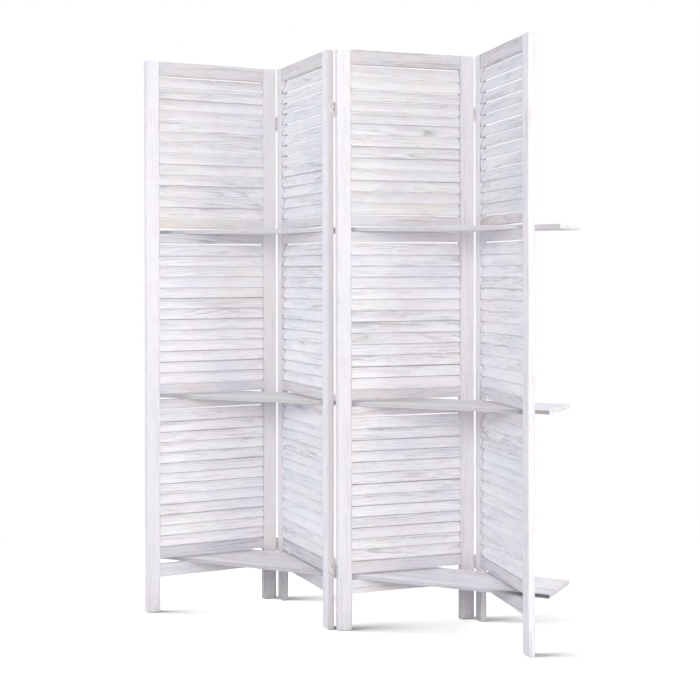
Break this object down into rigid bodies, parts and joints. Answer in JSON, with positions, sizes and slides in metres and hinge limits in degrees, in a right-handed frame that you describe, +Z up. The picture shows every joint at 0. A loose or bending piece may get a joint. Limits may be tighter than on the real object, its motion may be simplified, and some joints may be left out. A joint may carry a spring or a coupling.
{
  "type": "folding screen with shelves",
  "caption": "Whitewashed louvred folding screen in a zigzag, with long shelf boards threaded through slots in its hinged panels.",
  "frame": {"origin": "on the floor, under the middle of the screen's box", "axes": "+X along the shelf boards to the right, +Y to the back of the screen, +Z up"},
  "size_m": [1.3322, 0.3769, 1.7],
  "materials": {
    "stile": "whitewashed, matt",
    "rail": "whitewashed, matt",
    "louvre": "whitewashed, matt",
    "shelf": "whitewashed, matt",
    "hinge": "dull nickel",
    "hinge_pin": "dull nickel"
  },
  "bodies": {
    "panel_1": {"panel_1_louvre_stile": "louvre", "panel_1_right_stile": "stile", "panel_1_top_rail": "rail", "panel_1_rail_over_top_shelf": "rail", "panel_1_rail_under_top_shelf": "rail", "panel_1_rail_over_middle_shelf": "rail", "panel_1_rail_under_middle_shelf": "rail", "panel_1_rail_over_bottom_shelf": "rail", "panel_1_bottom_rail": "rail", "left_fold_lower_hinge_left_leaf": "hinge", "left_fold_upper_hinge_left_leaf": "hinge"},
    "panel_2": {"panel_2_louvre_stile": "louvre", "panel_2_right_stile": "stile", "panel_2_top_rail": "rail", "panel_2_rail_over_top_shelf": "rail", "panel_2_rail_under_top_shelf": "rail", "panel_2_rail_over_middle_shelf": "rail", "panel_2_rail_under_middle_shelf": "rail", "panel_2_rail_over_bottom_shelf": "rail", "panel_2_bottom_rail": "rail", "left_fold_lower_hinge_right_leaf": "hinge", "left_fold_lower_hinge_pin": "hinge_pin", "left_fold_upper_hinge_right_leaf": "hinge", "left_fold_upper_hinge_pin": "hinge_pin", "middle_fold_lower_hinge_left_leaf": "hinge", "middle_fold_lower_hinge_pin": "hinge_pin", "middle_fold_upper_hinge_left_leaf": "hinge", "middle_fold_upper_hinge_pin": "hinge_pin"},
    "panel_3": {"panel_3_louvre_stile": "louvre", "panel_3_right_stile": "stile", "panel_3_top_rail": "rail", "panel_3_rail_over_top_shelf": "rail", "panel_3_rail_under_top_shelf": "rail", "panel_3_rail_over_middle_shelf": "rail", "panel_3_rail_under_middle_shelf": "rail", "panel_3_rail_over_bottom_shelf": "rail", "panel_3_bottom_rail": "rail", "middle_fold_lower_hinge_right_leaf": "hinge", "middle_fold_upper_hinge_right_leaf": "hinge", "right_fold_lower_hinge_left_leaf": "hinge", "right_fold_lower_hinge_pin": "hinge_pin", "right_fold_upper_hinge_left_leaf": "hinge", "right_fold_upper_hinge_pin": "hinge_pin"},
    "panel_4": {"panel_4_louvre_stile": "louvre", "panel_4_right_stile": "stile", "panel_4_top_rail": "rail", "panel_4_rail_over_top_shelf": "rail", "panel_4_rail_under_top_shelf": "rail", "panel_4_rail_over_middle_shelf": "rail", "panel_4_rail_under_middle_shelf": "rail", "panel_4_rail_over_bottom_shelf": "rail", "panel_4_bottom_rail": "rail", "right_fold_lower_hinge_right_leaf": "hinge", "right_fold_upper_hinge_right_leaf": "hinge"},
    "bottom_shelf": {"bottom_shelf": "shelf"},
    "middle_shelf": {"middle_shelf": "shelf"},
    "top_shelf": {"top_shelf": "shelf"}
  },
  "joints": [
    {"name": "middle_fold", "type": "hinge", "parent": "panel_2", "child": "panel_3", "pos_m": [-0.00616, -0.12121, 0], "axis": [0, 0, 1], "range_deg": [0, 92.6]},
    {"name": "left_fold", "type": "hinge", "parent": "panel_2", "child": "panel_1", "pos_m": [-0.34803, 0.16013, 0], "axis": [0, 0, 1], "range_deg": [0, 85]},
    {"name": "right_fold", "type": "hinge", "parent": "panel_3", "child": "panel_4", "pos_m": [0.32156, 0.17649, 0], "axis": [0, 0, 1], "range_deg": [-84, 0]},
    {"name": "shelf_turn", "type": "hinge", "parent": "panel_2", "child": "bottom_shelf", "pos_m": [-0.17709, 0.01946, 0.1468], "axis": [0, 0, 1], "range_deg": [0, 47.8]},
    {"name": "middle_shelf_slide", "type": "slide", "parent": "bottom_shelf", "child": "middle_shelf", "axis": [1, 0, 0], "range_m": [-1.22, 1.25]},
    {"name": "top_shelf_slide", "type": "slide", "parent": "bottom_shelf", "child": "top_shelf", "axis": [1, 0, 0], "range_m": [-1.25, 1.22]}
  ],
  "couplings": [
    {"joint": "left_fold", "follows": "middle_fold", "ratio": 0.91685},
    {"joint": "right_fold", "follows": "middle_fold", "ratio": -0.90605},
    {"joint": "shelf_turn", "follows": "middle_fold", "ratio": 0.51512}
  ]
}
